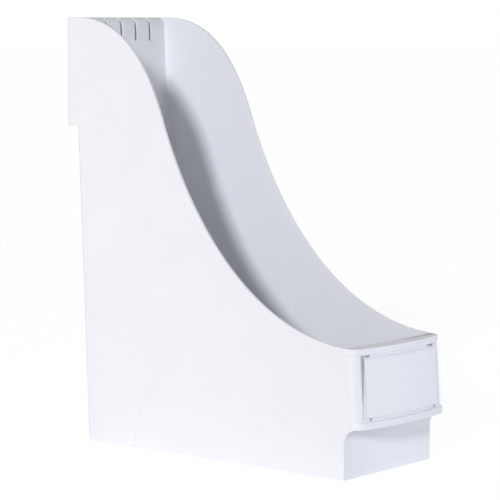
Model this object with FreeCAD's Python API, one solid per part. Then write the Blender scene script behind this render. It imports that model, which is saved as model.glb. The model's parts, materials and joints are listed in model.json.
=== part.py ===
import FreeCAD
import Part

import math
import os

Vector = FreeCAD.Vector

# Magazine file holder: a one-piece moulded box with swept side walls, a bowed
# label front over a recessed plinth and a hooked grip along the top of its back.
# Millimetres. +Z is up, -Y is the label front, the origin is the middle of the
# footprint's bounding box on the surface that the holder stands on.
# The depth values below are measured backwards from the plinth's front face.

# Overall sizes
WIDTH = 100.0
HEIGHT = 307.6
BASE_DEPTH = 234.4

# Walls
WALL = 2.2
FLOOR = 2.4
FRONT_WALL = 3.2
REAR_LEAN = 0.0422
REAR_CORNER_RADIUS = 3.5
INNER_CORNER_RADIUS = 1.5

# Standing rim under the floor
FOOT_HEIGHT = 1.2
FOOT_WIDTH = 6.0

# Label front
RIM_HEIGHT = 88.9
RIM_BAND = 4.55
RIM_PROUD = 0.5
FRONT_OVERHANG = 13.2
FRONT_LEAN = 0.065
BOW_RADIUS = 215.0
FRONT_CORNER_RADIUS = 8.0
FRONT_CORNER_CREASE = 10.0

# Finger recess and the lip above it
RECESS_HEIGHT = 34.95
RECESS_RADIUS = 10.4
LIP_BAND = 4.85
LIP_PROUD = 2.2

# Sweep of the side walls, from the rim up to the flat top. It starts behind the front,
# ends before the grip's back, and turns from hollow to full in front of that and below the top.
SWEEP_START_INSET = 2.4
SWEEP_TURN_INSET = 95.5
SWEEP_TURN_DROP = 78.4
SWEEP_TURN_ANGLE = 68.9
SWEEP_END_INSET = 11.9
SWEEP_FULLNESS = (0.541, 0.428, 0.242, 0.690)

# Hooked grip and its slots
GRIP_SPACE = 4.4193
GRIP_HEIGHT = 77.8
GRIP_ROLL_RADIUS = 6.5
GRIP_EDGE_RADIUS = 3.0
SLOT_COUNT = 5
SLOT_PITCH = 15.6
SLOT_WIDTH = 2.6
SLOT_LENGTH = 17.4
SLOT_REACH = 5.0

# Half-disc sunk into the outside of each side wall
RELIEF_RADIUS = 70.5
RELIEF_SHIFT = 0.3
RELIEF_DEPTH = 0.35

# Clear label cover, its pins and the card behind it
COVER_MARGIN = 3.4
COVER_THICKNESS = 1.0
COVER_GAP = 0.5
CARD_MARGIN = 6.1
CARD_THICKNESS = 0.4
CLEARANCE = 0.3
PIN_INSET = 9.8
PIN_DIAMETER = 1.8
PIN_LENGTH = 3.0
WINDOW_WIDTH = 9.0
WINDOW_HEIGHT = 1.1
WINDOW_OFFSET = 2.1
WINDOW_DROP = 0.4

# How far a shape that cuts or is cut reaches past the holder's faces
PASS = 1.0

# Worked-out values
HALF_WIDTH = WIDTH / 2
HALF_INNER = HALF_WIDTH - WALL
FLOOR_TOP = FOOT_HEIGHT + FLOOR
RIM_UNDERSIDE = RIM_HEIGHT - RIM_BAND
LIP_TOP = RECESS_HEIGHT + LIP_BAND
RIM_CORNER_RADIUS = FRONT_CORNER_RADIUS - 2 * RIM_PROUD
LIP_CORNER_RADIUS = FRONT_CORNER_RADIUS + RIM_PROUD
GRIP_DEPTH = BASE_DEPTH + REAR_LEAN * HEIGHT + GRIP_SPACE + WALL
GRIP_BOTTOM = HEIGHT - GRIP_HEIGHT
SWEEP_START = SWEEP_START_INSET - FRONT_OVERHANG
SWEEP_TURN_DEPTH = GRIP_DEPTH - SWEEP_TURN_INSET
SWEEP_TURN_HEIGHT = HEIGHT - SWEEP_TURN_DROP
SWEEP_END = GRIP_DEPTH - SWEEP_END_INSET
SLOT_BOTTOM = HEIGHT - SLOT_LENGTH
RELIEF_CENTRE = BASE_DEPTH / 2 + RELIEF_SHIFT
COVER_WIDTH = WIDTH - 2 * COVER_MARGIN
CARD_WIDTH = COVER_WIDTH - 2 * CARD_MARGIN
PIN_SPACING = COVER_WIDTH - 2 * PIN_INSET
PIN_HOLE_DIAMETER = PIN_DIAMETER + 2 * CLEARANCE
COVER_RAIL = PIN_DIAMETER
COVER_BOTTOM = LIP_TOP + COVER_GAP
COVER_TOP = RIM_UNDERSIDE - COVER_GAP
CARD_BACK = CLEARANCE
CARD_FACE = CARD_BACK + CARD_THICKNESS
COVER_BACK = CARD_FACE + CLEARANCE
COVER_FACE = COVER_BACK + COVER_THICKNESS
FAR = 4 * (HEIGHT + GRIP_DEPTH)
PIN_HEIGHTS = (COVER_BOTTOM + COVER_RAIL / 2, COVER_TOP - COVER_RAIL / 2)


def front_middle(height):
    """Depth of the label front's surface on the centre line."""
    return -FRONT_OVERHANG + FRONT_LEAN * (height - (RIM_HEIGHT - RIM_BAND))


def front_surface(across, height):
    """Depth of the label front's surface at a distance from the centre line."""
    return front_middle(height) + BOW_RADIUS - math.sqrt(BOW_RADIUS**2 - across**2)


def rear_outer(height):
    """Depth of the outside of the leaning rear wall."""
    return BASE_DEPTH + REAR_LEAN * height


FRONT_MOST = front_middle(RECESS_HEIGHT) - LIP_PROUD
CENTRE_DEPTH = (FRONT_MOST + GRIP_DEPTH) / 2


def box(x_range, y_range, z_range):
    """Box between two values along each axis."""
    low = Vector(x_range[0], y_range[0], z_range[0])
    shape = Part.makeBox(
        x_range[1] - x_range[0],
        y_range[1] - y_range[0],
        z_range[1] - z_range[0],
        low,
    )
    return shape


def line(start, end):
    return Part.LineSegment(start, end).toShape()


def arc(start, middle, end):
    return Part.Arc(start, middle, end).toShape()


def arc_about(centre, radius, first, last, axes):
    """Arc about a centre between two angles in degrees, in the plane of two axes."""
    points = []
    for angle in (first, (first + last) / 2, last):
        turn = math.radians(angle)
        points.append(centre + axes[0] * (radius * math.cos(turn)) + axes[1] * (radius * math.sin(turn)))
    return arc(*points)


def solid_from(edges, direction):
    """Solid made by pushing the face inside a closed loop of edges along a direction."""
    wire = Part.Wire(Part.__sortEdges__(edges))
    return Part.Face(wire).extrude(direction)


PLAN = (Vector(1, 0, 0), Vector(0, 1, 0))
SIDE = (Vector(0, 1, 0), Vector(0, 0, 1))


def bowed_front_prism(proud, corner_radius, crease):
    """Everything behind the bowed front, pushed out by proud, with rounded corners to the sides.

    A corner meets the side at the crease angle, or runs smoothly into it where that is 0.
    """
    middle = front_middle(0) - proud
    bow_centre = Vector(0, middle + BOW_RADIUS, 0)
    corner_x = HALF_WIDTH - corner_radius * math.cos(math.radians(crease))
    reach = math.sqrt((BOW_RADIUS - corner_radius) ** 2 - corner_x**2)
    corner_y = middle + BOW_RADIUS - reach
    bow_angle = math.degrees(math.atan2(corner_x, reach))
    side_y = corner_y - corner_radius * math.sin(math.radians(crease))
    right = arc_about(Vector(corner_x, corner_y, 0), corner_radius, bow_angle - 90, -crease, PLAN)
    left = arc_about(Vector(-corner_x, corner_y, 0), corner_radius, 180 + crease, 270 - bow_angle, PLAN)
    front = arc_about(bow_centre, BOW_RADIUS, -90 - bow_angle, -90 + bow_angle, PLAN)
    edges = [
        front,
        right,
        line(Vector(HALF_WIDTH, side_y, 0), Vector(HALF_WIDTH, FAR, 0)),
        line(Vector(HALF_WIDTH, FAR, 0), Vector(-HALF_WIDTH, FAR, 0)),
        line(Vector(-HALF_WIDTH, FAR, 0), Vector(-HALF_WIDTH, side_y, 0)),
        left,
    ]
    rise = HEIGHT + PASS
    return solid_from(edges, Vector(0, FRONT_LEAN * rise, rise))


def squared_prism(half_width, near_depth, far_depth, lean, near_radius, far_radius):
    """Leaning block between two depths at the base, with rounded upright corners."""
    corners = [
        (half_width, near_depth, -90, near_radius),
        (half_width, far_depth, 0, far_radius),
        (-half_width, far_depth, 90, far_radius),
        (-half_width, near_depth, 180, near_radius),
    ]
    edges = []
    ends = []
    for x, y, first, radius in corners:
        inward_x = radius if x < 0 else -radius
        inward_y = -radius if y == far_depth else radius
        centre = Vector(x + inward_x, y + inward_y, 0)
        if radius > 0:
            edges.append(arc_about(centre, radius, first, first + 90, PLAN))
        start = math.radians(first)
        end = math.radians(first + 90)
        ends.append(centre + Vector(math.cos(start), math.sin(start), 0) * radius)
        ends.append(centre + Vector(math.cos(end), math.sin(end), 0) * radius)
    for index in range(4):
        edges.append(line(ends[2 * index + 1], ends[(2 * index + 2) % 8]))
    rise = HEIGHT + PASS
    return solid_from(edges, Vector(0, lean * rise, rise))


def sweep_edges():
    """The two curves of a side wall's edge, from the rim to the flat top, and their ends."""
    turn = math.radians(SWEEP_TURN_ANGLE)
    along = Vector(0, math.cos(turn), math.sin(turn))
    start = Vector(-HALF_WIDTH, SWEEP_START, RIM_HEIGHT)
    middle = Vector(-HALF_WIDTH, SWEEP_TURN_DEPTH, SWEEP_TURN_HEIGHT)
    end = Vector(-HALF_WIDTH, SWEEP_END, HEIGHT)
    low_run = SWEEP_TURN_DEPTH - SWEEP_START
    high_run = SWEEP_END - SWEEP_TURN_DEPTH
    low_rise = (SWEEP_TURN_HEIGHT - RIM_HEIGHT) / math.sin(turn)
    high_rise = (HEIGHT - SWEEP_TURN_HEIGHT) / math.sin(turn)
    lower = Part.BezierCurve()
    lower.setPoles([
        start,
        start + Vector(0, SWEEP_FULLNESS[0] * low_run, 0),
        middle - along * (SWEEP_FULLNESS[1] * low_rise),
        middle,
    ])
    upper = Part.BezierCurve()
    upper.setPoles([
        middle,
        middle + along * (SWEEP_FULLNESS[2] * high_rise),
        end - Vector(0, SWEEP_FULLNESS[3] * high_run, 0),
        end,
    ])
    return [lower.toShape(), upper.toShape()], start, end


def side_outline_prism():
    """The holder's outline seen from the side, across its whole width."""
    x = -HALF_WIDTH
    recess_start = RECESS_HEIGHT - RECESS_RADIUS
    recess = arc_about(Vector(x, -RECESS_RADIUS, recess_start), RECESS_RADIUS, 0, 90, SIDE)
    roll_centre = Vector(x, GRIP_DEPTH - GRIP_EDGE_RADIUS, HEIGHT - GRIP_EDGE_RADIUS)
    rear_edge = arc_about(roll_centre, GRIP_EDGE_RADIUS, 0, 90, SIDE)
    sweep, sweep_start, sweep_end = sweep_edges()
    edges = sweep + [
        line(Vector(x, 0, 0), Vector(x, 0, recess_start)),
        recess,
        line(Vector(x, -RECESS_RADIUS, RECESS_HEIGHT), Vector(x, -FAR, RECESS_HEIGHT)),
        line(Vector(x, -FAR, RECESS_HEIGHT), Vector(x, -FAR, RIM_HEIGHT)),
        line(Vector(x, -FAR, RIM_HEIGHT), sweep_start),
        line(sweep_end, Vector(x, GRIP_DEPTH - GRIP_EDGE_RADIUS, HEIGHT)),
        rear_edge,
        line(Vector(x, GRIP_DEPTH, HEIGHT - GRIP_EDGE_RADIUS), Vector(x, GRIP_DEPTH, 0)),
        line(Vector(x, GRIP_DEPTH, 0), Vector(x, 0, 0)),
    ]
    return solid_from(edges, Vector(WIDTH, 0, 0))


def outer_block():
    """The holder's outside as one solid block."""
    front = bowed_front_prism(0, FRONT_CORNER_RADIUS, FRONT_CORNER_CREASE)
    wide = (-WIDTH, WIDTH)
    deep = (-FAR, FAR)
    lip_zone = box(wide, deep, (-PASS, LIP_TOP))
    rim_zone = box(wide, deep, (RIM_UNDERSIDE, HEIGHT + PASS))
    lip = bowed_front_prism(LIP_PROUD, LIP_CORNER_RADIUS, 0).common(lip_zone)
    rim = bowed_front_prism(RIM_PROUD, RIM_CORNER_RADIUS, 0).common(rim_zone)
    front = front.fuse([lip, rim])
    box_rear = squared_prism(HALF_WIDTH, -FAR / 4, BASE_DEPTH, REAR_LEAN, 0, REAR_CORNER_RADIUS)
    grip = squared_prism(HALF_WIDTH, GRIP_DEPTH / 2, GRIP_DEPTH, 0, 0, REAR_CORNER_RADIUS)
    grip = grip.common(box(wide, deep, (GRIP_BOTTOM, HEIGHT + PASS)))
    return side_outline_prism().common(front).common(box_rear.fuse(grip))


def cavity():
    """The space for the magazines."""
    x = -HALF_INNER
    front_inside = front_surface(HALF_WIDTH - FRONT_CORNER_RADIUS, 0) + FRONT_WALL
    front = squared_prism(HALF_INNER, front_inside, FAR / 2, FRONT_LEAN, INNER_CORNER_RADIUS, 0)
    rear_inside = BASE_DEPTH - WALL
    rear = squared_prism(HALF_INNER, -FAR / 4, rear_inside, REAR_LEAN, 0, INNER_CORNER_RADIUS)
    ledge_start = RECESS_HEIGHT - RECESS_RADIUS
    ledge_top = RECESS_HEIGHT + WALL
    ledge = arc_about(Vector(x, -RECESS_RADIUS, ledge_start), RECESS_RADIUS + WALL, 0, 90, SIDE)
    above = HEIGHT + PASS
    edges = [
        line(Vector(x, WALL, FLOOR_TOP), Vector(x, WALL, ledge_start)),
        ledge,
        line(Vector(x, -RECESS_RADIUS, ledge_top), Vector(x, -FAR / 8, ledge_top)),
        line(Vector(x, -FAR / 8, ledge_top), Vector(x, -FAR / 8, above)),
        line(Vector(x, -FAR / 8, above), Vector(x, FAR / 4, above)),
        line(Vector(x, FAR / 4, above), Vector(x, FAR / 4, FLOOR_TOP)),
        line(Vector(x, FAR / 4, FLOOR_TOP), Vector(x, WALL, FLOOR_TOP)),
    ]
    inside = solid_from(edges, Vector(2 * HALF_INNER, 0, 0))
    return inside.common(front).common(rear)


def grip_roll():
    """What is taken off the inner top edge of the rear wall to round it backwards."""
    x = -HALF_INNER
    start = HEIGHT - GRIP_ROLL_RADIUS
    near = rear_outer(start) - WALL
    over = HEIGHT + PASS
    centre = Vector(x, near + GRIP_ROLL_RADIUS, start)
    edges = [
        arc_about(centre, GRIP_ROLL_RADIUS, 180, 90, SIDE),
        line(Vector(x, near + GRIP_ROLL_RADIUS, HEIGHT), Vector(x, near + GRIP_ROLL_RADIUS, over)),
        line(Vector(x, near + GRIP_ROLL_RADIUS, over), Vector(x, near - WALL, over)),
        line(Vector(x, near - WALL, over), Vector(x, near - WALL, start)),
        line(Vector(x, near - WALL, start), Vector(x, near, start)),
    ]
    return solid_from(edges, Vector(2 * HALF_INNER, 0, 0))


def grip_channel():
    """The space for the fingers between the rear wall and the grip."""
    x = -HALF_INNER
    radius = min(GRIP_ROLL_RADIUS - WALL, GRIP_SPACE)
    top = HEIGHT - WALL
    start = top - radius
    near = rear_outer(start)
    far = GRIP_DEPTH - WALL
    below = GRIP_BOTTOM - PASS
    edges = [
        line(Vector(x, rear_outer(below), below), Vector(x, near, start)),
        arc_about(Vector(x, near + radius, start), radius, 180, 90, SIDE),
        line(Vector(x, near + radius, top), Vector(x, far, top)),
        line(Vector(x, far, top), Vector(x, far, below)),
        line(Vector(x, far, below), Vector(x, rear_outer(below), below)),
    ]
    return solid_from(edges, Vector(2 * HALF_INNER, 0, 0))


def grip_slots():
    """The row of round-bottomed slots over the rolled edge."""
    near = rear_outer(SLOT_BOTTOM) - 2 * WALL
    far = rear_outer(HEIGHT) - WALL + SLOT_REACH
    radius = SLOT_WIDTH / 2
    slots = []
    for index in range(SLOT_COUNT):
        x = (index - (SLOT_COUNT - 1) / 2) * SLOT_PITCH
        low = SLOT_BOTTOM + radius
        slot = box((x - radius, x + radius), (near, far), (low, HEIGHT + PASS))
        end = Part.makeCylinder(radius, far - near, Vector(x, near, low), Vector(0, 1, 0))
        slots.append(slot.fuse(end))
    return slots


def side_reliefs():
    """The shallow half-discs on the outside of both side walls."""
    reliefs = []
    for side in (-1, 1):
        start = Vector(side * HALF_WIDTH, RELIEF_CENTRE, 0)
        inward = Vector(-side, 0, 0)
        reliefs.append(Part.makeCylinder(RELIEF_RADIUS, RELIEF_DEPTH, start, inward))
    return reliefs


def foot_recess():
    """The hollow under the floor that leaves a standing rim."""
    x = HALF_WIDTH - FOOT_WIDTH
    return box((-x, x), (FOOT_WIDTH, BASE_DEPTH - FOOT_WIDTH), (-PASS, FOOT_HEIGHT))


def pin_positions():
    """Where the cover's pins are: distance from the centre line and height."""
    half = PIN_SPACING / 2
    return [(x, z) for z in PIN_HEIGHTS for x in (-half, half)]


def cylinder_to_front(diameter, x, z, near, far):
    """Round bar along Y between two depths."""
    return Part.makeCylinder(diameter / 2, far - near, Vector(x, near, z), Vector(0, 1, 0))


def front_openings():
    """Holes for the cover's pins and the windows beside the upper ones."""
    cuts = []
    for x, z in pin_positions():
        near = front_surface(x, z) - PASS
        far = front_surface(HALF_WIDTH - FRONT_CORNER_RADIUS, z) + FRONT_WALL + PASS
        cuts.append(cylinder_to_front(PIN_HOLE_DIAMETER, x, z, near, far))
    for side in (-1, 1):
        right = side * PIN_SPACING / 2 + WINDOW_OFFSET
        high = RIM_UNDERSIDE - WINDOW_DROP
        low = high - WINDOW_HEIGHT
        near = front_middle(low) - RIM_PROUD
        far = front_surface(HALF_WIDTH - FRONT_CORNER_RADIUS, low) + FRONT_WALL + PASS
        cuts.append(box((right - WINDOW_WIDTH, right), (near, far), (low, high)))
    return cuts


def holder_body():
    """The one-piece moulding."""
    shape = outer_block().cut(cavity())
    shape = shape.cut([grip_roll(), grip_channel()])
    shape = shape.cut(grip_slots())
    shape = shape.cut(side_reliefs() + [foot_recess()])
    shape = shape.cut(front_openings())
    return shape.removeSplitter()


def front_slab(half_width, back, face, bottom, top):
    """Bowed and leaning plate between two distances in front of the label front."""
    middle = front_middle(bottom)
    edges = []
    ends = []
    for proud in (back, face):
        centre = Vector(0, middle - proud + BOW_RADIUS, bottom)
        angle = math.degrees(math.asin(half_width / BOW_RADIUS))
        edges.append(arc_about(centre, BOW_RADIUS, -90 - angle, -90 + angle, PLAN))
        ends.append(front_surface(half_width, bottom) - proud)
    for x in (-half_width, half_width):
        edges.append(line(Vector(x, ends[0], bottom), Vector(x, ends[1], bottom)))
    rise = top - bottom
    return solid_from(edges, Vector(0, FRONT_LEAN * rise, rise))


def label_cover():
    """Clear plate with a rail along its top and bottom and a pin at each corner."""
    half = COVER_WIDTH / 2
    plate = front_slab(half, COVER_BACK, COVER_FACE, COVER_BOTTOM, COVER_TOP)
    low_rail = front_slab(half, CLEARANCE, COVER_BACK, COVER_BOTTOM, COVER_BOTTOM + COVER_RAIL)
    high_rail = front_slab(half, CLEARANCE, COVER_BACK, COVER_TOP - COVER_RAIL, COVER_TOP)
    pins = []
    for x, z in pin_positions():
        face = front_surface(x, z)
        pins.append(cylinder_to_front(PIN_DIAMETER, x, z, face - COVER_BACK, face + PIN_LENGTH))
    return plate.fuse([low_rail, high_rail] + pins).removeSplitter()


def label_card():
    """Blank card that slides sideways between the rails."""
    bottom = COVER_BOTTOM + COVER_RAIL + CLEARANCE
    top = COVER_TOP - COVER_RAIL - CLEARANCE
    return front_slab(CARD_WIDTH / 2, CARD_BACK, CARD_FACE, bottom, top)


def main():
    os.makedirs("parts", exist_ok=True)
    pieces = {
        "holder_body": holder_body(),
        "label_cover": label_cover(),
        "label_card": label_card(),
    }
    for name, shape in pieces.items():
        shape.translate(Vector(0, -CENTRE_DEPTH, 0))
        shape.exportStep(os.path.join("parts", name + ".step"))
        bounds = shape.BoundBox
        print(
            name,
            "solids %d valid %s volume %.1f" % (len(shape.Solids), shape.isValid(), shape.Volume),
            "x %.2f %.2f y %.2f %.2f z %.2f %.2f"
            % (bounds.XMin, bounds.XMax, bounds.YMin, bounds.YMax, bounds.ZMin, bounds.ZMax),
        )


if __name__ == "__main__":
    main()
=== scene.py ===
"""Magazine file holder: a moulded box with swept sides, a clear label cover and a paper card."""

import json
import math

import bmesh
import bpy
from mathutils import Matrix, Vector

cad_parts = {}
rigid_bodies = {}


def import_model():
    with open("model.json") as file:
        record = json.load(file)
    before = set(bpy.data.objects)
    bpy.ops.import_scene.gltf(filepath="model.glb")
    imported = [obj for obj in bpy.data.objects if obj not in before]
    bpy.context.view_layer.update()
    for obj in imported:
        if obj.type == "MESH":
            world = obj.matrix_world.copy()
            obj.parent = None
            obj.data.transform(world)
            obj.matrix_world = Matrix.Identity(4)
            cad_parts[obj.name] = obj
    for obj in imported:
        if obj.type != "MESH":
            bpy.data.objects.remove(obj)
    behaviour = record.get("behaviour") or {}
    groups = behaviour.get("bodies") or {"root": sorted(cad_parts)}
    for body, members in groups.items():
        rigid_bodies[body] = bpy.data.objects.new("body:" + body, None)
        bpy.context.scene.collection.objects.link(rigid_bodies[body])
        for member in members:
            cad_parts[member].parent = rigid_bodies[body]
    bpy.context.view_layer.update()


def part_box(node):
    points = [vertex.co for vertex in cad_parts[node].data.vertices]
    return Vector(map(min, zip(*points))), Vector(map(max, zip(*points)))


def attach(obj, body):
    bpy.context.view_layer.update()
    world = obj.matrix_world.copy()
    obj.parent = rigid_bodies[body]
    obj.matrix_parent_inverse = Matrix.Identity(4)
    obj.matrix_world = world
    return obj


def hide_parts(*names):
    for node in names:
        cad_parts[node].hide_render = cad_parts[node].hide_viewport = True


bl_info = {
    "name": "Magazine File Holder",
    "version": (1, 0, 0),
    "blender": (4, 5, 0),
    "location": "3D View > Sidebar > File Holder",
    "description": "Makes a moulded magazine file holder with its covered label",
    "category": "Add Mesh",
}

for leftover in list(bpy.data.objects):
    bpy.data.objects.remove(leftover)

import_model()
BODY_LOW, BODY_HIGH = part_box("holder_body")

MM = 0.001
PASS = 1 * MM
WIDTH = BODY_HIGH.x - BODY_LOW.x
HEIGHT = BODY_HIGH.z - BODY_LOW.z
HALF_WIDTH = WIDTH / 2
FAR = 2.0
ALONG_X = Vector((1, 0, 0))
ALONG_Y = Vector((0, 1, 0))
ALONG_Z = Vector((0, 0, 1))
CUT_MARKS = ("box", "cut")


def length(name, description, millimetres):
    """A length that a user can change, given in millimetres."""
    return bpy.props.FloatProperty(
        name=name, description=description, default=millimetres * MM, unit="LENGTH", precision=5
    )


def ratio(name, description, value):
    """A plain number that a user can change."""
    return bpy.props.FloatProperty(name=name, description=description, default=value, precision=4)


def angle(name, description, degrees):
    """An angle that a user can change, given in degrees."""
    return bpy.props.FloatProperty(
        name=name, description=description, default=math.radians(degrees), subtype="ANGLE"
    )


def colour(name, description, hex_code):
    """A colour that a user can change, given as sRGB hex."""
    return bpy.props.FloatVectorProperty(
        name=name, description=description, default=linear(hex_code), size=4, subtype="COLOR", min=0, max=1
    )


def linear(hex_code):
    """Linear colour with alpha from an sRGB hex code."""
    channels = [int(hex_code[place:place + 2], 16) / 255 for place in (1, 3, 5)]
    curve = [c / 12.92 if c <= 0.04045 else ((c + 0.055) / 1.055) ** 2.4 for c in channels]
    return (*curve, 1.0)


class HolderBodySizes(bpy.types.PropertyGroup):
    """Sizes of the moulded box."""

    wall: length("Wall", "Thickness of the side and rear walls", 2.2)
    front_wall: length("Front wall", "Thickness of the label front at its corners", 3.2)
    floor: length("Floor", "Thickness of the floor", 2.4)
    foot_height: length("Foot height", "Height of the standing rim under the floor", 1.2)
    foot_width: length("Foot width", "Width of the standing rim under the floor", 6.0)
    base_depth: length("Base depth", "Depth of the base from the plinth to the rear wall", 234.4)
    rear_lean: ratio("Rear lean", "How far the rear wall leans back for each unit of height", 0.0422)
    rear_corner: length("Rear corner", "Radius of the upright rear corners", 3.5)
    inner_corner: length("Inner corner", "Radius of the upright corners inside", 1.5)
    edge_radius: length("Edge radius", "Rounding of the box's outer edges", 0.5)
    cut_radius: length("Cut radius", "Rounding of the edges of slots and holes", 0.22)


class LabelFrontSizes(bpy.types.PropertyGroup):
    """Sizes of the bowed label front with its rim, lip and plinth."""

    rim_height: length("Rim height", "Height of the front rim", 88.9)
    rim_band: length("Rim band", "Height of the band along the rim", 4.55)
    rim_proud: length("Rim proud", "How far the rim's band stands out", 0.5)
    overhang: length("Overhang", "How far the front overhangs the plinth under the rim", 13.2)
    lean: ratio("Front lean", "How far the front leans back for each unit of height", 0.065)
    bow_radius: length("Bow radius", "Radius of the front's bow", 215.0)
    corner: length("Corner", "Radius of the front's upright corners", 8.0)
    crease: angle("Corner crease", "Angle at which the label panel's corner meets the side", 10.0)
    lip_top: length("Lip top", "Height of the lip's upper edge", 39.8)
    lip_proud: length("Lip proud", "How far the lip stands out", 2.2)
    recess_height: length("Recess height", "Height of the finger recess under the lip", 34.95)
    recess_radius: length("Recess radius", "Radius of the recess's hollow corner", 10.4)
    window_width: length("Window width", "Width of the windows beside the upper pins", 9.0)
    window_height: length("Window height", "Height of those windows", 1.1)
    window_offset: length("Window offset", "How far a window reaches past its pin", 2.1)
    window_drop: length("Window drop", "Distance of the windows below the rim's band", 0.4)


class SweepSizes(bpy.types.PropertyGroup):
    """Sizes of the side walls' swept edge and of the half-disc on each side."""

    start: length("Start", "Depth at which the sweep leaves the rim", -10.8)
    turn_depth: length("Turn depth", "Depth of the point where the sweep turns from hollow to full", 158.5)
    turn_height: length("Turn height", "Height of that point", 229.2)
    turn_angle: angle("Turn angle", "Steepness of the sweep at that point", 68.9)
    end: length("End", "Depth at which the sweep reaches the flat top", 242.1)
    low_reach: ratio("Low reach", "Length of the curve's handle at the rim, as a share of its run", 0.541)
    low_pull: ratio("Low pull", "Length of the handle below the turn, as a share of its rise", 0.428)
    high_pull: ratio("High pull", "Length of the handle above the turn, as a share of its rise", 0.242)
    high_reach: ratio("High reach", "Length of the handle at the flat top, as a share of its run", 0.690)
    disc_radius: length("Disc radius", "Radius of the half-disc on each side", 70.5)
    disc_centre: length("Disc centre", "Depth of the half-disc's centre", 117.5)
    disc_depth: length("Disc depth", "How deep the half-disc is sunk", 0.35)


class GripSizes(bpy.types.PropertyGroup):
    """Sizes of the hooked grip along the top of the back."""

    depth: length("Grip depth", "Depth of the grip's back from the plinth", 254.0)
    bottom: length("Grip bottom", "Height of the grip's lower edge", 229.8)
    roll: length("Roll radius", "Radius of the rolled inner top edge", 6.5)
    edge: length("Rear edge radius", "Radius of the grip's rear top edge", 3.0)
    slot_count: bpy.props.IntProperty(name="Slots", description="Number of slots", default=5, min=1)
    slot_pitch: length("Slot pitch", "Distance from slot to slot", 15.6)
    slot_width: length("Slot width", "Width of a slot", 2.6)
    slot_bottom: length("Slot bottom", "Height of the slots' rounded lower ends", 290.2)
    slot_reach: length("Slot reach", "How far the slots run over the rolled edge", 5.0)


class LabelSizes(bpy.types.PropertyGroup):
    """Sizes of the clear cover and of the card."""

    gap: length("Gap", "Space above and below the cover", 0.5)
    clearance: length("Clearance", "Space between the card and what is beside it", 0.3)
    cover_width: length("Cover width", "Width of the clear cover", 93.2)
    cover_thickness: length("Cover thickness", "Thickness of the clear cover", 1.0)
    rail: length("Rail", "Height of the rails behind the cover", 1.8)
    card_width: length("Card width", "Width of the card", 81.0)
    card_thickness: length("Card thickness", "Thickness of the card", 0.4)
    pin_spacing: length("Pin spacing", "Distance between the pins across the label", 73.6)
    pin_diameter: length("Pin diameter", "Diameter of a pin", 1.8)
    pin_hole: length("Pin hole", "Diameter of a pin's hole", 2.4)
    pin_length: length("Pin length", "How far the pins reach into the front wall", 3.0)
    edge_radius: length("Cover edge radius", "Rounding of the cover's edges", 0.25)


class FinishColours(bpy.types.PropertyGroup):
    """Colours of the plastics and the card."""

    plastic: colour("Plastic", "Colour of the moulded box", "#F1F2F6")
    plastic_shade: colour("Plastic shade", "Slightly deeper colour that mottles the box", "#ECEDF2")
    clear: colour("Clear plastic", "Tint of the clear cover", "#F7FAFF")
    card: colour("Card", "Colour of the card", "#FAFBFD")
    card_fibre: colour("Card fibre", "Colour of the card's fibres", "#F3F4F7")


class StageSettings(bpy.types.PropertyGroup):
    """Camera, lights and floor."""

    azimuth: angle("Camera azimuth", "Direction of view about the upright axis, from +Y towards +X", 50.5885)
    elevation: angle("Camera elevation", "How far the camera looks down", 5.7687)
    roll: angle("Camera roll", "Turn of the camera about its line of sight", 0.074)
    distance: length("Camera distance", "Distance from the camera to the point that it faces", 1549.85)
    aim_left: length("Aim left", "How far left of the plinth's foot the camera faces", 94.307)
    aim_up: length("Aim up", "How far above the plinth's foot the camera faces", 150.112)
    focal: bpy.props.FloatProperty(name="Lens", description="Focal length in millimetres", default=163.29)
    key: ratio("Key light", "Strength of the key light", 1.99)
    key_angle: angle("Key size", "Angle that the key light covers", 7.5)
    key_tint: colour("Key tint", "Colour of the key light", "#FAFCFF")
    front_panel: ratio("Front panel", "Power of the low soft panel before the label front, in watts", 0.95)
    front_tint: colour("Front tint", "Colour of the front panel", "#EAF0FF")
    side_panel: ratio("Side panel", "Power of the low soft panel beside the holder, in watts", 1.9)
    side_tint: colour("Side tint", "Colour of the side panel", "#FFFEF4")
    ambient: ratio("Ambient light", "Strength of the light from all around", 0.17)
    ambient_tint: colour("Ambient tint", "Colour of the light from all around", "#FFFFFF")


GROUPS = {
    "holder_body_sizes": HolderBodySizes,
    "holder_front_sizes": LabelFrontSizes,
    "holder_sweep_sizes": SweepSizes,
    "holder_grip_sizes": GripSizes,
    "holder_label_sizes": LabelSizes,
    "holder_colours": FinishColours,
    "holder_stage": StageSettings,
}


def settings(name):
    """One of the scene's groups of values."""
    return getattr(bpy.context.scene, name)


# Places that follow from the sizes


def plinth_depth():
    """Depth, in the shared frame, of the plinth's front face, which the depths are measured from."""
    front = settings("holder_front_sizes")
    rise = front.rim_height - front.rim_band - front.recess_height
    return BODY_LOW.y + front.overhang + front.lean * rise + front.lip_proud


def front_middle(height):
    """Depth of the label front's surface on the centre line."""
    front = settings("holder_front_sizes")
    return plinth_depth() - front.overhang + front.lean * (height - front.rim_height + front.rim_band)


def bow_setback(across):
    """How far the bowed front lies behind its middle at a distance from the centre line."""
    radius = settings("holder_front_sizes").bow_radius
    return radius - math.sqrt(radius**2 - across**2)


def front_inside(height):
    """Depth of the flat inside of the label front."""
    corner = settings("holder_front_sizes").corner
    return front_middle(height) + bow_setback(HALF_WIDTH - corner) + settings("holder_body_sizes").front_wall


def rear_outer(height):
    """Depth of the outside of the leaning rear wall."""
    body = settings("holder_body_sizes")
    return plinth_depth() + body.base_depth + body.rear_lean * height


def half_inner():
    """Half of the clear width between the side walls."""
    return HALF_WIDTH - settings("holder_body_sizes").wall


def cover_heights():
    """Heights of the cover's lower and upper edges."""
    front = settings("holder_front_sizes")
    gap = settings("holder_label_sizes").gap
    return front.lip_top + gap, front.rim_height - front.rim_band - gap


# Outlines and solids


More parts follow.
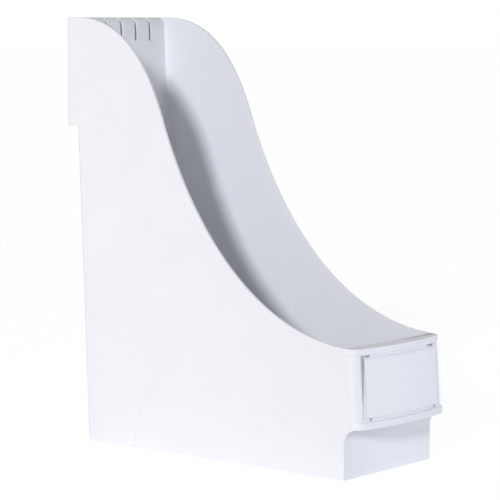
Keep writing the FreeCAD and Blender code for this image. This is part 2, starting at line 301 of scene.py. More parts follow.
def arc(centre, radius, first, last, axes, steps):
    """Points of an arc about a centre, between two angles in degrees, in the plane of two axes."""
    points = []
    for step in range(steps + 1):
        turn = math.radians(first + (last - first) * step / steps)
        points.append(centre + axes[0] * radius * math.cos(turn) + axes[1] * radius * math.sin(turn))
    return points


def bezier(poles, steps):
    """Points of a cubic curve with four poles."""
    points = []
    for step in range(steps + 1):
        t = step / steps
        shares = ((1 - t) ** 3, 3 * (1 - t) ** 2 * t, 3 * (1 - t) * t**2, t**3)
        points.append(sum((pole * share for pole, share in zip(poles, shares)), Vector()))
    return points


def solid(name, outline, direction, mark=0):
    """Closed solid made by pushing an outline along a direction."""
    points = []
    for point in outline:
        if not points or (point - points[-1]).length > 1e-7:
            points.append(point)
    if (points[0] - points[-1]).length < 1e-7:
        points.pop()
    bm = bmesh.new()
    near = [bm.verts.new(point) for point in points]
    far = [bm.verts.new(point + direction) for point in points]
    bm.faces.new(near)
    bm.faces.new(list(reversed(far)))
    for index in range(len(points)):
        after = (index + 1) % len(points)
        bm.faces.new((near[index], far[index], far[after], near[after]))
    bmesh.ops.recalc_face_normals(bm, faces=bm.faces)
    for face in bm.faces:
        face.material_index = mark
    mesh = bpy.data.meshes.new(name)
    bm.to_mesh(mesh)
    bm.free()
    return linked(name, mesh)


def linked(name, mesh):
    """Object that holds a mesh, in the scene."""
    made = bpy.data.objects.new(name, mesh)
    bpy.context.scene.collection.objects.link(made)
    return made


def block(name, low, high, mark=0):
    """Box between two corners."""
    outline = [
        Vector((low[0], low[1], low[2])),
        Vector((high[0], low[1], low[2])),
        Vector((high[0], high[1], low[2])),
        Vector((low[0], high[1], low[2])),
    ]
    return solid(name, outline, Vector((0, 0, high[2] - low[2])), mark)


def made_plain(made):
    """Turns what the modifiers give into a plain mesh."""
    bpy.context.view_layer.update()
    evaluated = made.evaluated_get(bpy.context.evaluated_depsgraph_get())
    mesh = bpy.data.meshes.new_from_object(evaluated)
    old = made.data
    made.modifiers.clear()
    made.data = mesh
    mesh.name = made.name
    bpy.data.meshes.remove(old)
    return made


def combine(target, tools, operation):
    """Joins, cuts or keeps what is common with each tool in turn, and clears the tools away."""
    for tool in tools:
        step = target.modifiers.new("combine", "BOOLEAN")
        step.object = tool
        step.operation = operation
        step.solver = "EXACT"
        made_plain(target)
        mesh = tool.data
        bpy.data.objects.remove(tool)
        bpy.data.meshes.remove(mesh)
    if not target.data.polygons:
        raise RuntimeError(target.name + " has nothing left after " + operation)
    return target


def bowed_front(name, proud, corner, crease, low, high, flare):
    """Everything behind the bowed front between two heights, with rounded corners to the sides.

    Behind its corners it is wider than the box by the flare, so that the sides are cut by the box alone.
    """
    front = settings("holder_front_sizes")
    middle = front_middle(low) - proud
    corner_x = HALF_WIDTH - corner * math.cos(crease)
    reach = math.sqrt((front.bow_radius - corner) ** 2 - corner_x**2)
    corner_y = middle + front.bow_radius - reach
    bow = math.degrees(math.atan2(corner_x, reach))
    turn = math.degrees(crease)
    plan = (ALONG_X, ALONG_Y)
    side_y = corner_y - corner * math.sin(crease)
    wide = HALF_WIDTH + flare
    outline = [Vector((-wide, FAR + flare, low)), Vector((-wide, side_y, low))]
    outline += arc(Vector((-corner_x, corner_y, low)), corner, 180 + turn, 270 - bow, plan, 16)
    bow_centre = Vector((0, middle + front.bow_radius, low))
    outline += arc(bow_centre, front.bow_radius, -90 - bow, -90 + bow, plan, 28)
    outline += arc(Vector((corner_x, corner_y, low)), corner, bow - 90, -turn, plan, 16)
    outline += [Vector((wide, side_y, low)), Vector((wide, FAR + flare, low))]
    rise = high - low
    return solid(name, outline, Vector((0, front.lean * rise, rise)))


def leaning_block(name, half_width, depth, facing, radius, lean, heights, flare):
    """Block with two rounded upright corners at a depth, facing backwards (1) or forwards (-1).

    Away from its corners it is wider by the flare. It leans backwards with height, and its depth is
    at the height 0.
    """
    low, high = heights
    depth += lean * low
    plan = (ALONG_X, ALONG_Y)
    corner_x = half_width - radius
    corner_y = depth - facing * radius
    wide = half_width + flare
    away = -facing * (FAR / 2 + flare)
    outline = [Vector((wide, away, low)), Vector((wide, corner_y, low))]
    outline += arc(Vector((corner_x, corner_y, low)), radius, 0, facing * 90, plan, 8)
    outline += arc(Vector((-corner_x, corner_y, low)), radius, facing * 90, facing * 180, plan, 8)
    outline += [Vector((-wide, corner_y, low)), Vector((-wide, away, low))]
    rise = high - low
    return solid(name, outline, Vector((0, lean * rise, rise)))


def sweep():
    """Points of a side wall's edge, from the rim to the flat top."""
    sizes = settings("holder_sweep_sizes")
    x = -HALF_WIDTH
    plinth = plinth_depth()
    along = Vector((0, math.cos(sizes.turn_angle), math.sin(sizes.turn_angle)))
    start = Vector((x, plinth + sizes.start, settings("holder_front_sizes").rim_height))
    turn = Vector((x, plinth + sizes.turn_depth, sizes.turn_height))
    end = Vector((x, plinth + sizes.end, HEIGHT))
    low_rise = (turn.z - start.z) / math.sin(sizes.turn_angle)
    high_rise = (end.z - turn.z) / math.sin(sizes.turn_angle)
    low_handle = start + ALONG_Y * sizes.low_reach * (turn.y - start.y)
    high_handle = end - ALONG_Y * sizes.high_reach * (end.y - turn.y)
    lower = bezier((start, low_handle, turn - along * sizes.low_pull * low_rise, turn), 56)
    upper = bezier((turn, turn + along * sizes.high_pull * high_rise, high_handle, end), 40)
    return lower + upper


def side_outline():
    """The box's outline seen from the side."""
    front = settings("holder_front_sizes")
    grip = settings("holder_grip_sizes")
    x = -HALF_WIDTH
    plinth = plinth_depth()
    back = plinth + grip.depth
    recess_start = front.recess_height - front.recess_radius
    side = (ALONG_Y, ALONG_Z)
    outline = [Vector((x, plinth, 0))]
    recess_centre = Vector((x, plinth - front.recess_radius, recess_start))
    outline += arc(recess_centre, front.recess_radius, 0, 90, side, 16)
    outline.append(Vector((x, -FAR, front.recess_height)))
    outline.append(Vector((x, -FAR, front.rim_height)))
    outline += sweep()
    outline += arc(Vector((x, back - grip.edge, HEIGHT - grip.edge)), grip.edge, 90, 0, side, 10)
    outline.append(Vector((x, back, 0)))
    return outline


def outside():
    """The outside of the box as one solid."""
    body = settings("holder_body_sizes")
    front = settings("holder_front_sizes")
    grip = settings("holder_grip_sizes")
    plinth = plinth_depth()
    low, high = -PASS, HEIGHT + PASS
    shape = solid("moulded_box", side_outline(), ALONG_X * WIDTH)
    face = bowed_front("front", 0, front.corner, front.crease, low, high, PASS)
    lip_corner = front.corner + front.rim_proud
    lip = bowed_front("lip", front.lip_proud, lip_corner, 0, 2 * low, front.lip_top, 2 * PASS)
    underside = front.rim_height - front.rim_band
    rim_corner = front.corner - 2 * front.rim_proud
    rim = bowed_front("rim", front.rim_proud, rim_corner, 0, underside, high + PASS, 3 * PASS)
    combine(face, [lip, rim], "UNION")
    wall_depth = plinth + body.base_depth
    radius = body.rear_corner
    wall_heights = (3 * low, high + PASS)
    rear = leaning_block("rear", HALF_WIDTH, wall_depth, 1, radius, body.rear_lean, wall_heights, PASS)
    hook_depth = plinth + grip.depth
    hook_heights = (grip.bottom, high + 2 * PASS)
    hook = leaning_block("hook", HALF_WIDTH, hook_depth, 1, radius, 0, hook_heights, 2 * PASS)
    combine(rear, [hook], "UNION")
    return combine(shape, [face, rear], "INTERSECT")


def inside():
    """The space for the magazines."""
    body = settings("holder_body_sizes")
    front = settings("holder_front_sizes")
    x = -half_inner()
    plinth = plinth_depth()
    floor_top = body.foot_height + body.floor
    ledge_start = front.recess_height - front.recess_radius
    ledge_top = front.recess_height + body.wall
    ledge_radius = front.recess_radius + body.wall
    ledge_centre = Vector((x, plinth - front.recess_radius, ledge_start))
    above = HEIGHT + 2 * PASS
    outline = [Vector((x, plinth + body.wall, floor_top))]
    outline += arc(ledge_centre, ledge_radius, 0, 90, (ALONG_Y, ALONG_Z), 16)
    outline.append(Vector((x, -FAR / 4, ledge_top)))
    outline.append(Vector((x, -FAR / 4, above)))
    outline.append(Vector((x, FAR / 4, above)))
    outline.append(Vector((x, FAR / 4, floor_top)))
    space = solid("inside", outline, ALONG_X * 2 * half_inner())
    far = plinth + body.base_depth - body.wall
    radius = body.inner_corner
    heights = (-PASS, above + PASS)
    near_block = leaning_block("near", half_inner(), front_inside(0), -1, radius, front.lean, heights, PASS)
    far_block = leaning_block("far", half_inner(), far, 1, radius, body.rear_lean, heights, 2 * PASS)
    return combine(space, [near_block, far_block], "INTERSECT")


def rolled_edge():
    """What is taken off the inner top edge of the rear wall to round it backwards."""
    body = settings("holder_body_sizes")
    grip = settings("holder_grip_sizes")
    x = -half_inner()
    start = HEIGHT - grip.roll
    near = rear_outer(start) - body.wall
    over = HEIGHT + PASS
    outline = [Vector((x, near - body.wall, start))]
    outline += arc(Vector((x, near + grip.roll, start)), grip.roll, 180, 90, (ALONG_Y, ALONG_Z), 16)
    outline.append(Vector((x, near + grip.roll, over)))
    outline.append(Vector((x, near - body.wall, over)))
    return solid("rolled_edge", outline, ALONG_X * 2 * half_inner())


def finger_channel():
    """The space for the fingers between the rear wall and the hook."""
    body = settings("holder_body_sizes")
    grip = settings("holder_grip_sizes")
    x = -half_inner()
    radius = grip.roll - body.wall
    start = HEIGHT - grip.roll
    near = rear_outer(start)
    far = plinth_depth() + grip.depth - body.wall
    below = grip.bottom - PASS
    outline = [Vector((x, rear_outer(below), below))]
    outline += arc(Vector((x, near + radius, start)), radius, 180, 90, (ALONG_Y, ALONG_Z), 12)
    outline.append(Vector((x, far, HEIGHT - body.wall)))
    outline.append(Vector((x, far, below)))
    return solid("finger_channel", outline, ALONG_X * 2 * half_inner())


def foot_hollow():
    """The hollow under the floor that leaves a standing rim."""
    body = settings("holder_body_sizes")
    x = HALF_WIDTH - body.foot_width
    plinth = plinth_depth()
    near, far = plinth + body.foot_width, plinth + body.base_depth - body.foot_width
    return block("foot_hollow", (-x, near, -PASS), (x, far, body.foot_height))


# Node trees for what repeats or follows a rule


def add_node(tree, kind, choices=None, **inputs):
    """Adds a node, sets its choices, and sets or links its inputs by name or by their number."""
    node = tree.nodes.new(kind)
    for name, value in (choices or {}).items():
        setattr(node, name, value)
    for name, value in inputs.items():
        key = int(name[1:]) if name[0] == "i" and name[1:].isdigit() else name.replace("_", " ")
        socket = node.inputs[key]
        if isinstance(value, bpy.types.NodeSocket):
            tree.links.new(value, socket)
        else:
            socket.default_value = value
    return node


def new_tree(name, sizes):
    """Geometry tree with named inputs, a material input and a geometry output."""
    tree = bpy.data.node_groups.new(name, "GeometryNodeTree")
    for size, kind in sizes.items():
        tree.interface.new_socket(size, in_out="INPUT", socket_type=kind)
    tree.interface.new_socket("Material", in_out="INPUT", socket_type="NodeSocketMaterial")
    tree.interface.new_socket("Geometry", in_out="OUTPUT", socket_type="NodeSocketGeometry")
    return tree, tree.nodes.new("NodeGroupInput").outputs


def end_tree(tree, geometry, material):
    """Ends a tree in Realize Instances and Set Material."""
    real = add_node(tree, "GeometryNodeRealizeInstances", Geometry=geometry)
    painted = add_node(tree, "GeometryNodeSetMaterial", Geometry=real.outputs[0], Material=material)
    add_node(tree, "NodeGroupOutput", Geometry=painted.outputs[0])
    return tree


def grown(name, tree, values):
    """Plain mesh object that a geometry tree makes from its values."""
    made = linked(name, bpy.data.meshes.new(name))
    step = made.modifiers.new("shape", "NODES")
    step.node_group = tree
    for item in tree.interface.items_tree:
        if item.in_out == "INPUT" and item.name in values:
            step[item.identifier] = values[item.name]
    return made_plain(made)


def slot_row_tree():
    """A row of round-ended bars across X that point along Y, centred on the origin."""
    sizes = {
        "Count": "NodeSocketInt",
        "Pitch": "NodeSocketFloat",
        "Width": "NodeSocketFloat",
        "Height": "NodeSocketFloat",
        "Depth": "NodeSocketFloat",
    }
    tree, given = new_tree("slot_row", sizes)
    flat = add_node(
        tree, "GeometryNodeCurvePrimitiveQuadrilateral", Width=given["Width"], Height=given["Height"]
    )
    radius = add_node(tree, "ShaderNodeMath", {"operation": "MULTIPLY"}, i0=given["Width"], i1=0.499)
    ended = add_node(
        tree,
        "GeometryNodeFilletCurve",
        {"mode": "POLY"},
        Curve=flat.outputs[0],
        Radius=radius.outputs[0],
        Count=8,
    )
    face = add_node(tree, "GeometryNodeFillCurve", {"mode": "NGONS"}, Curve=ended.outputs[0])
    push = add_node(tree, "ShaderNodeCombineXYZ", Z=given["Depth"])
    back = add_node(tree, "GeometryNodeFlipFaces", Mesh=face.outputs[0])
    pushed = add_node(
        tree,
        "GeometryNodeExtrudeMesh",
        Mesh=face.outputs[0],
        Offset=push.outputs[0],
        Offset_Scale=1.0,
        Individual=False,
    )
    both = tree.nodes.new("GeometryNodeJoinGeometry")
    tree.links.new(back.outputs[0], both.inputs[0])
    tree.links.new(pushed.outputs[0], both.inputs[0])
    closed = add_node(tree, "GeometryNodeMergeByDistance", Geometry=both.outputs[0], Distance=1e-6)
    half = add_node(tree, "ShaderNodeMath", {"operation": "MULTIPLY"}, i0=given["Depth"], i1=-0.5)
    middle = add_node(tree, "ShaderNodeCombineXYZ", Z=half.outputs[0])
    centred = add_node(
        tree, "GeometryNodeTransform", Geometry=closed.outputs[0], Translation=middle.outputs[0]
    )
    upright = add_node(
        tree, "GeometryNodeTransform", Geometry=centred.outputs[0], Rotation=(math.pi / 2, 0, 0)
    )
    steps = add_node(tree, "ShaderNodeMath", {"operation": "SUBTRACT"}, i0=given["Count"], i1=1.0)
    run = add_node(tree, "ShaderNodeMath", {"operation": "MULTIPLY"}, i0=steps.outputs[0], i1=given["Pitch"])
    first = add_node(tree, "ShaderNodeMath", {"operation": "MULTIPLY"}, i0=run.outputs[0], i1=-0.5)
    start = add_node(tree, "ShaderNodeCombineXYZ", X=first.outputs[0])
    gap = add_node(tree, "ShaderNodeCombineXYZ", X=given["Pitch"])
    row = add_node(
        tree,
        "GeometryNodeMeshLine",
        Count=given["Count"],
        Start_Location=start.outputs[0],
        Offset=gap.outputs[0],
    )
    placed = add_node(
        tree, "GeometryNodeInstanceOnPoints", Points=row.outputs[0], Instance=upright.outputs[0]
    )
    return end_tree(tree, placed.outputs[0], given["Material"])


def corner_bars_tree():
    """Four round bars along Y at the corners of a rectangle in the XZ plane."""
    sizes = {
        "Across": "NodeSocketFloat",
        "Up": "NodeSocketFloat",
        "Radius": "NodeSocketFloat",
        "Length": "NodeSocketFloat",
    }
    tree, given = new_tree("corner_bars", sizes)
    corners = add_node(
        tree, "GeometryNodeMeshGrid", Size_X=given["Across"], Size_Y=given["Up"], Vertices_X=2, Vertices_Y=2
    )
    bar = add_node(
        tree, "GeometryNodeMeshCylinder", Vertices=32, Radius=given["Radius"], Depth=given["Length"]
    )
    placed = add_node(
        tree, "GeometryNodeInstanceOnPoints", Points=corners.outputs[0], Instance=bar.outputs[0]
    )
    upright = add_node(
        tree, "GeometryNodeTransform", Geometry=placed.outputs[0], Rotation=(math.pi / 2, 0, 0)
    )
    return end_tree(tree, upright.outputs[0], given["Material"])


def bowed_plate_tree():
    """A plate that follows the front's bow and lean, with its bottom edge on the origin's height."""
    sizes = {
        "Width": "NodeSocketFloat",
        "Height": "NodeSocketFloat",
        "Thickness": "NodeSocketFloat",
        "Bow Radius": "NodeSocketFloat",
        "Lean": "NodeSocketFloat",
    }
    tree, given = new_tree("bowed_plate", sizes)
    size = add_node(
        tree, "ShaderNodeCombineXYZ", X=given["Width"], Y=given["Thickness"], Z=given["Height"]
    )
    plate = add_node(
        tree, "GeometryNodeMeshCube", Size=size.outputs[0], Vertices_X=49, Vertices_Y=2, Vertices_Z=2
    )
    place = tree.nodes.new("GeometryNodeInputPosition")
    axes = add_node(tree, "ShaderNodeSeparateXYZ", i0=place.outputs[0])
    across = add_node(
        tree, "ShaderNodeMath", {"operation": "MULTIPLY"}, i0=axes.outputs[0], i1=axes.outputs[0]
    )
    radius = given["Bow Radius"]
    square = add_node(tree, "ShaderNodeMath", {"operation": "MULTIPLY"}, i0=radius, i1=radius)
    rest = add_node(
        tree, "ShaderNodeMath", {"operation": "SUBTRACT"}, i0=square.outputs[0], i1=across.outputs[0]
    )
    root = add_node(tree, "ShaderNodeMath", {"operation": "SQRT"}, i0=rest.outputs[0])
    bow = add_node(tree, "ShaderNodeMath", {"operation": "SUBTRACT"}, i0=radius, i1=root.outputs[0])
    half = add_node(tree, "ShaderNodeMath", {"operation": "MULTIPLY"}, i0=given["Height"], i1=0.5)
    height = add_node(tree, "ShaderNodeMath", {"operation": "ADD"}, i0=axes.outputs[2], i1=half.outputs[0])
    lean = add_node(tree, "ShaderNodeMath", {"operation": "MULTIPLY"}, i0=height.outputs[0], i1=given["Lean"])
    back = add_node(tree, "ShaderNodeMath", {"operation": "ADD"}, i0=bow.outputs[0], i1=lean.outputs[0])
    shift = add_node(tree, "ShaderNodeCombineXYZ", Y=back.outputs[0], Z=half.outputs[0])
    bent = add_node(
        tree, "GeometryNodeSetPosition", Geometry=plate.outputs[0], Offset=shift.outputs[0]
    )
    return end_tree(tree, bent.outputs[0], given["Material"])


def moved(made, place):
    """Moves a mesh within its object, which stays at the origin."""
    made.data.transform(Matrix.Translation(place))
    return made


# Edges and shading


def rounded(made, radius, wanted, segments=3):
    """Rounds the edges that the test wants."""
    bm = bmesh.new()
    bm.from_mesh(made.data)
    bmesh.ops.remove_doubles(bm, verts=bm.verts, dist=2e-6)
    bmesh.ops.dissolve_degenerate(bm, dist=2e-6, edges=bm.edges)
    edges = [edge for edge in bm.edges if edge.is_manifold and wanted(edge)]
    bmesh.ops.bevel(
        bm,
        geom=edges,
        offset=radius,
        offset_type="OFFSET",
        segments=segments,
        profile=0.5,
        affect="EDGES",
        clamp_overlap=False,
        miter_outer="SHARP",
        material=-1,
    )
    bmesh.ops.remove_doubles(bm, verts=bm.verts, dist=2e-6)
    bm.to_mesh(made.data)
    bm.free()
    return made


def outer_edge(edge):
    """Whether an edge is a sharp outward one."""
    return edge.is_convex and edge.calc_face_angle(0) > math.radians(32)


def cut_edge(edge):
    """Whether an edge lies between the box and one of the small cuts in it."""
    marks = {face.material_index for face in edge.link_faces}
    return len(marks) == 2 and edge.is_convex and edge.calc_face_angle(0) > math.radians(32)


def shaded(made, material, degrees=24):
    """Gives a mesh its material, smooth faces with sharp edges kept, and normals weighted by area."""
    mesh = made.data
    mesh.materials.clear()
    mesh.materials.append(material)
    for face in mesh.polygons:
        face.material_index = 0
        face.use_smooth = True
    mesh.set_sharp_from_angle(angle=math.radians(degrees))
    weight = made.modifiers.new("weighted normals", "WEIGHTED_NORMAL")
    weight.keep_sharp = True
    weight.weight = 80
    return made_plain(made)


# Materials


def surface(name):
    """New node material with its shader and a Texture Coordinate's Object output."""
    made = bpy.data.materials.new(name)
    made.use_nodes = True
    tree = made.node_tree
    shader = tree.nodes["Principled BSDF"]
    place = tree.nodes.new("ShaderNodeTexCoord").outputs["Object"]
    return made, tree, shader, place


def moulded_polystyrene():
    """White polystyrene from a fine-textured mould.

    Opaque white pigment, a soft broad highlight from the mould's fine texture, and a faint
    unevenness in tone and gloss where the melt flowed and cooled.
    """
    tints = settings("holder_colours")
    made, tree, shader, place = surface("moulded_polystyrene")
    flow_width = 45 * MM
    grain_width = 0.9 * MM
    flow = add_node(
        tree, "ShaderNodeTexNoise", Vector=place, Scale=1 / flow_width, Detail=2.0, Roughness=0.45
    )
    tone = add_node(tree, "ShaderNodeMix", {"data_type": "RGBA"}, i0=flow.outputs["Fac"])
    tone.inputs[6].default_value = tints.plastic
    tone.inputs[7].default_value = tints.plastic_shade
    tree.links.new(tone.outputs[2], shader.inputs["Base Color"])
    gloss = add_node(
        tree,
        "ShaderNodeMapRange",
        Value=flow.outputs["Fac"],
        From_Min=0.3,
        From_Max=0.7,
        To_Min=0.36,
        To_Max=0.44,
    )
    tree.links.new(gloss.outputs[0], shader.inputs["Roughness"])
    # A real mould's texture is about 0.1 mm, which is too fine to show, so it is drawn coarser.
    grain = add_node(
        tree, "ShaderNodeTexNoise", Vector=place, Scale=1 / grain_width, Detail=2.0, Roughness=0.6
    )
    bump = add_node(tree, "ShaderNodeBump", Strength=0.12, Distance=0.03 * MM, Height=grain.outputs["Fac"])
    tree.links.new(bump.outputs[0], shader.inputs["Normal"])
    shader.inputs["IOR"].default_value = 1.55
    return made


def clear_polystyrene():
    """Clear polystyrene from a polished mould.

    Nearly invisible face on, and a little less clear at a slant and along its edges.
    """
    tints = settings("holder_colours")
    made, tree, shader, place = surface("clear_polystyrene")
    ripple_width = 14 * MM
    ripple = add_node(tree, "ShaderNodeTexNoise", Vector=place, Scale=1 / ripple_width, Detail=1.0)
    gloss = add_node(
        tree,
        "ShaderNodeMapRange",
        Value=ripple.outputs["Fac"],
        From_Min=0.3,
        From_Max=0.7,
        To_Min=0.05,
        To_Max=0.12,
    )
    tree.links.new(gloss.outputs[0], shader.inputs["Roughness"])
    slant = add_node(tree, "ShaderNodeLayerWeight", Blend=0.35)
    cover = add_node(
        tree,
        "ShaderNodeMapRange",
        Value=slant.outputs["Facing"],
        From_Min=0.0,
        From_Max=1.0,
        To_Min=0.01,
        To_Max=0.14,
    )
    tree.links.new(cover.outputs[0], shader.inputs["Alpha"])
    shader.inputs["Base Color"].default_value = tints.clear
    shader.inputs["IOR"].default_value = 1.59
    return made


def card_paper():
    """Smooth white card.

    Quite matt, with short fibres that run mostly across the sheet and show as the faintest streaks.
    """
    tints = settings("holder_colours")
    made, tree, shader, place = surface("card_paper")
    fibre_length = 1.6 * MM
    lay = add_node(tree, "ShaderNodeMapping", Vector=place, Scale=(1.0, 1.0, 3.5))
    fibre = add_node(
        tree, "ShaderNodeTexNoise", Vector=lay.outputs[0], Scale=1 / fibre_length, Detail=4.0, Roughness=0.7
    )
    tone = add_node(tree, "ShaderNodeMix", {"data_type": "RGBA"}, i0=fibre.outputs["Fac"])
    tone.inputs[6].default_value = tints.card
    tone.inputs[7].default_value = tints.card_fibre
    tree.links.new(tone.outputs[2], shader.inputs["Base Color"])
    bump = add_node(tree, "ShaderNodeBump", Strength=0.2, Distance=0.03 * MM, Height=fibre.outputs["Fac"])
    tree.links.new(bump.outputs[0], shader.inputs["Normal"])
    shader.inputs["Roughness"].default_value = 0.88
    return made


def studio_floor():
    """Seamless white paper sweep, bright to the eye, that keeps a soft share of the object's shadow."""
    made, tree, shader, place = surface("studio_floor")
    speck_width = 2 * MM
    speck = add_node(tree, "ShaderNodeTexNoise", Vector=place, Scale=1 / speck_width)
    gloss = add_node(tree, "ShaderNodeMapRange", Value=speck.outputs["Fac"], To_Min=0.9, To_Max=1.0)
    tree.links.new(gloss.outputs[0], shader.inputs["Roughness"])
    shader.inputs["Base Color"].default_value = (0.9, 0.9, 0.9, 1)
    shader.inputs["Specular IOR Level"].default_value = 0.0
    seen = direct_rays(tree)
    # The paper keeps the rest of the mix for the shadow, so the white is a little above 1.
    white_share = 0.88
    white_strength = 1.08
    share = add_node(tree, "ShaderNodeMath", {"operation": "MULTIPLY"}, i0=seen, i1=white_share)
    white = add_node(tree, "ShaderNodeEmission", Color=(1, 1, 1, 1), Strength=white_strength)
    both = add_node(
        tree, "ShaderNodeMixShader", i0=share.outputs[0], i1=shader.outputs[0], i2=white.outputs[0]
    )
    tree.links.new(both.outputs[0], tree.nodes["Material Output"].inputs["Surface"])
    return made


def direct_rays(tree):
    """1 for rays from the camera and for those mirrored or passed on to it, otherwise 0."""
    path = tree.nodes.new("ShaderNodeLightPath").outputs
    some = add_node(
        tree, "ShaderNodeMath", {"operation": "MAXIMUM"}, i0=path["Is Camera Ray"], i1=path["Is Glossy Ray"]
    )
    every = add_node(
        tree, "ShaderNodeMath", {"operation": "MAXIMUM"}, i0=some.outputs[0], i1=path["Is Transmission Ray"]
    )
    return every.outputs[0]


# Operators


class OBJECT_OT_moulded_box(bpy.types.Operator):
    """Make the moulded box, with its rim, lip, plinth, slots and half-discs"""

    bl_idname = "object.holder_moulded_box"
    bl_label = "Moulded Box"

    def execute(self, context):
        body = settings("holder_body_sizes")
        made = combine(outside(), [inside(), rolled_edge(), finger_channel(), foot_hollow()], "DIFFERENCE")
        rounded(made, body.edge_radius, outer_edge)
        marked(made, 0)
        combine(made, small_cuts(), "DIFFERENCE")
        rounded(made, body.cut_radius, cut_edge, segments=2)
        combine(made, side_discs(), "DIFFERENCE")
        shaded(made, moulded_polystyrene())
        for name in CUT_MARKS:
            bpy.data.materials.remove(bpy.data.materials[name])
        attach(made, "holder")
        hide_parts("holder_body")
        return {"FINISHED"}


def small_cuts():
    """The grip's slots, the pins' holes and the windows beside the upper ones."""
    body = settings("holder_body_sizes")
    front = settings("holder_front_sizes")
    grip = settings("holder_grip_sizes")
    label = settings("holder_label_sizes")
    slot_top = HEIGHT + grip.slot_width
    near = rear_outer(grip.slot_bottom) - 2 * body.wall
    far = rear_outer(HEIGHT) - body.wall + grip.slot_reach
    row = {
        "Count": grip.slot_count,
        "Pitch": grip.slot_pitch,
        "Width": grip.slot_width,
        "Height": slot_top - grip.slot_bottom,
        "Depth": far - near,
    }
    slots = grown("slots", slot_row_tree(), row)
    moved(slots, Vector((0, (near + far) / 2, (slot_top + grip.slot_bottom) / 2)))
    low, high = pin_heights()
    middle = (low + high) / 2
    hole_length = 2 * (front_inside(middle) - front_middle(middle))
    holes = pin_bars("pin_holes", label.pin_hole, hole_length, front_inside(middle))
    cuts = [slots, holes]
    top = front.rim_height - front.rim_band - front.window_drop
    bottom = top - front.window_height
    for side in (-1, 1):
        right = side * label.pin_spacing / 2 + front.window_offset
        window_low = (right - front.window_width, front_middle(bottom) - front.rim_proud, bottom)
        window_high = (right, front_inside(bottom) + PASS, top)
        cuts.append(block("window", window_low, window_high))
    for cut in cuts:
        marked(cut, 1)
    return cuts


def marked(made, mark):
    """Marks a mesh's faces, so that the edges between it and what is cut from it are known."""
    mesh = made.data
    mesh.materials.clear()
    for name in CUT_MARKS:
        mesh.materials.append(bpy.data.materials.get(name) or bpy.data.materials.new(name))
    for face in mesh.polygons:
        face.material_index = mark


def side_discs():
    """The shallow half-discs sunk into both sides."""
    sizes = settings("holder_sweep_sizes")
    discs = []
    for side in (-1, 1):
        centre = Vector((side * (HALF_WIDTH - sizes.disc_depth), plinth_depth() + sizes.disc_centre, 0))
        outline = arc(centre, sizes.disc_radius, 0, 360, (ALONG_Y, ALONG_Z), 180)
        discs.append(solid("side_disc", outline, ALONG_X * side * (sizes.disc_depth + PASS)))
    return discs


def pin_heights():
    """Heights of the lower and upper pins."""
    rail = settings("holder_label_sizes").rail
    low, high = cover_heights()
    return low + rail / 2, high - rail / 2


def pin_bars(name, diameter, reach, middle_depth):
    """Four bars along Y at the cover's pins."""
    label = settings("holder_label_sizes")
    low, high = pin_heights()
    values = {"Across": label.pin_spacing, "Up": high - low, "Radius": diameter / 2, "Length": reach}
    bars = grown(name, corner_bars_tree(), values)
    return moved(bars, Vector((0, middle_depth, (low + high) / 2)))


def plate(name, width, thickness, back, low, high):
    """Bowed plate whose back lies a distance in front of the label front, between two heights."""
    front = settings("holder_front_sizes")
    values = {
        "Width": width,
        "Height": high - low,
        "Thickness": thickness,
        "Bow Radius": front.bow_radius,
        "Lean": front.lean,
    }
    made = grown(name, bowed_plate_tree(), values)
    return moved(made, Vector((0, front_middle(low) - back - thickness / 2, low)))


class OBJECT_OT_clear_cover(bpy.types.Operator):
    """Make the clear label cover, with its rails and pins"""

    bl_idname = "object.holder_clear_cover"
    bl_label = "Clear Cover"

    def execute(self, context):
        label = settings("holder_label_sizes")
        low, high = cover_heights()
        back = 2 * label.clearance + label.card_thickness
        made = plate("clear_label_cover", label.cover_width, label.cover_thickness, back, low, high)
        overlap = label.cover_thickness / 2
        depth = back - label.clearance + overlap
        rails = (
            plate("low_rail", label.cover_width, depth, label.clearance, low, low + label.rail),
            plate("high_rail", label.cover_width, depth, label.clearance, high - label.rail, high),
        )
        combine(made, rails, "UNION")
        rounded(made, label.edge_radius, outer_edge)
        face = front_middle(sum(pin_heights()) / 2) + bow_setback(label.pin_spacing / 2)
        lean = settings("holder_front_sizes").lean * (high - low)
        reach = label.pin_length + back - lean / 2
        pins = pin_bars("pins", label.pin_diameter, reach, face + label.pin_length - reach / 2)
        combine(made, [pins], "UNION")
        shaded(made, clear_polystyrene())
        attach(made, "label_cover")
        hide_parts("label_cover")
        return {"FINISHED"}


class OBJECT_OT_paper_card(bpy.types.Operator):
    """Make the blank card behind the cover"""

    bl_idname = "object.holder_paper_card"
    bl_label = "Paper Card"

    def execute(self, context):
        label = settings("holder_label_sizes")
        low, high = cover_heights()
        margin = label.rail + label.clearance
        made = plate(
            "paper_label_card",
            label.card_width,
            label.card_thickness,
            label.clearance,
            low + margin,
            high - margin,
        )
        rounded(made, label.card_thickness / 8, outer_edge, segments=1)
        shaded(made, card_paper())
        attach(made, "label_card")
        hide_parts("label_card")
        return {"FINISHED"}


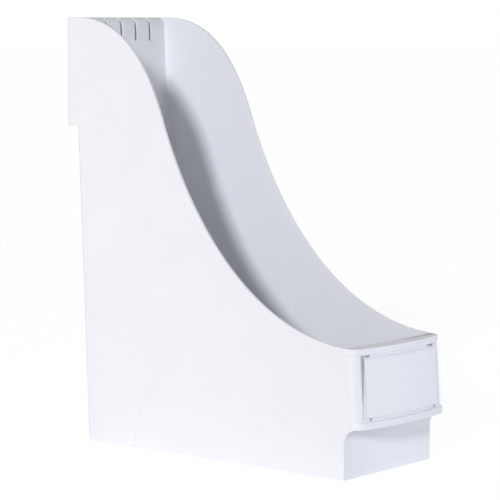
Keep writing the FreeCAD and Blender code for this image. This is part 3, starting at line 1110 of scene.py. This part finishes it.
class OBJECT_OT_studio_stage(bpy.types.Operator):
    """Make the floor, the lights and the camera"""

    bl_idname = "object.holder_studio_stage"
    bl_label = "Studio Stage"

    def execute(self, context):
        stage = settings("holder_stage")
        scene = context.scene
        scene.view_settings.view_transform = "Standard"
        floor_width = 40.0
        corner = floor_width / 2
        floor = block("studio_floor", (-corner, -corner, -PASS), (corner, corner, 0))
        floor.data.materials.append(studio_floor())
        set_world(scene, stage)
        set_key_light(scene, stage)
        front = {"size": 0.30, "place": Vector((0.22, -0.40, 0.11)), "target": Vector((0.0, 0.0, 0.06))}
        side = {"size": 0.70, "place": Vector((-0.75, 0.42, 0.06)), "target": Vector((0.0, 0.13, 0.08))}
        set_panel(scene, "front_panel", stage.front_panel, stage.front_tint, **front)
        set_panel(scene, "side_panel", stage.side_panel, stage.side_tint, **side)
        set_camera(scene, stage)
        return {"FINISHED"}


def set_world(scene, stage):
    """Even light from all around, seen as plain white."""
    world = bpy.data.worlds.new("studio")
    scene.world = world
    world.use_nodes = True
    tree = world.node_tree
    glow = tree.nodes["Background"]
    glow.inputs["Color"].default_value = stage.ambient_tint
    glow.inputs["Strength"].default_value = stage.ambient
    white = add_node(tree, "ShaderNodeBackground", Color=(1, 1, 1, 1), Strength=1.0)
    both = add_node(
        tree, "ShaderNodeMixShader", i0=direct_rays(tree), i1=glow.outputs[0], i2=white.outputs[0]
    )
    tree.links.new(both.outputs[0], tree.nodes["World Output"].inputs["Surface"])


def set_key_light(scene, stage):
    """Soft-edged key light from the side of the low front, a little above."""
    lamp = bpy.data.lights.new("key", "SUN")
    lamp.energy = stage.key
    lamp.angle = stage.key_angle
    lamp.color = stage.key_tint[:3]
    made = bpy.data.objects.new("key", lamp)
    travel = Vector((0.870, 0.351, -0.342))
    made.rotation_mode = "QUATERNION"
    made.rotation_quaternion = travel.to_track_quat("-Z", "Y")
    scene.collection.objects.link(made)


def set_panel(scene, name, power, tint, size, place, target):
    """Low soft panel, itself unseen, placed and aimed from the middle of the plinth's foot, in metres."""
    lamp = bpy.data.lights.new(name, "AREA")
    lamp.energy = power
    lamp.size = size
    lamp.color = tint[:3]
    made = bpy.data.objects.new(name, lamp)
    made.visible_camera = False
    made.visible_glossy = False
    foot = Vector((0, plinth_depth(), 0))
    made.location = foot + place
    made.rotation_mode = "QUATERNION"
    made.rotation_quaternion = (target - place).to_track_quat("-Z", "Y")
    scene.collection.objects.link(made)


def set_camera(scene, stage):
    """Long lens that looks slightly down at the side and the label front."""
    lens = bpy.data.cameras.new("camera")
    lens.lens = stage.focal
    lens.sensor_width = 36.0
    lens.clip_start = 0.05
    lens.clip_end = 200.0
    made = bpy.data.objects.new("camera", lens)
    level = math.cos(stage.elevation)
    ahead = Vector((
        math.sin(stage.azimuth) * level, math.cos(stage.azimuth) * level, -math.sin(stage.elevation)
    ))
    right = Vector((math.cos(stage.azimuth), -math.sin(stage.azimuth), 0))
    up = right.cross(ahead)
    # The point that the camera faces, measured from the middle of the plinth's foot.
    foot = Vector((0, plinth_depth(), 0))
    aim = foot - right * stage.aim_left + up * stage.aim_up
    made.location = aim - ahead * stage.distance
    turn = Matrix((right, up, -ahead)).transposed()
    made.rotation_mode = "QUATERNION"
    made.rotation_quaternion = (turn @ Matrix.Rotation(stage.roll, 3, "Z")).to_quaternion()
    scene.collection.objects.link(made)
    scene.camera = made


OPERATORS = (
    OBJECT_OT_studio_stage,
    OBJECT_OT_moulded_box,
    OBJECT_OT_clear_cover,
    OBJECT_OT_paper_card,
)


class VIEW3D_PT_file_holder(bpy.types.Panel):
    """Panel with the holder's pieces and the stage"""

    bl_idname = "VIEW3D_PT_file_holder"
    bl_label = "File Holder"
    bl_space_type = "VIEW_3D"
    bl_region_type = "UI"
    bl_category = "File Holder"

    def draw(self, context):
        for operator in OPERATORS:
            self.layout.operator(operator.bl_idname)
        for name, group in GROUPS.items():
            part = self.layout.box()
            part.label(text=group.bl_rna.description)
            for value in group.__annotations__:
                part.prop(getattr(context.scene, name), value)


CLASSES = (*GROUPS.values(), *OPERATORS, VIEW3D_PT_file_holder)


def register():
    for made in CLASSES:
        bpy.utils.register_class(made)
    for name, group in GROUPS.items():
        setattr(bpy.types.Scene, name, bpy.props.PointerProperty(type=group))


def unregister():
    for name in GROUPS:
        delattr(bpy.types.Scene, name)
    for made in reversed(CLASSES):
        bpy.utils.unregister_class(made)


def main():
    register()
    for operator in OPERATORS:
        family, action = operator.bl_idname.split(".")
        getattr(getattr(bpy.ops, family), action)()


if __name__ == "__main__":
    main()
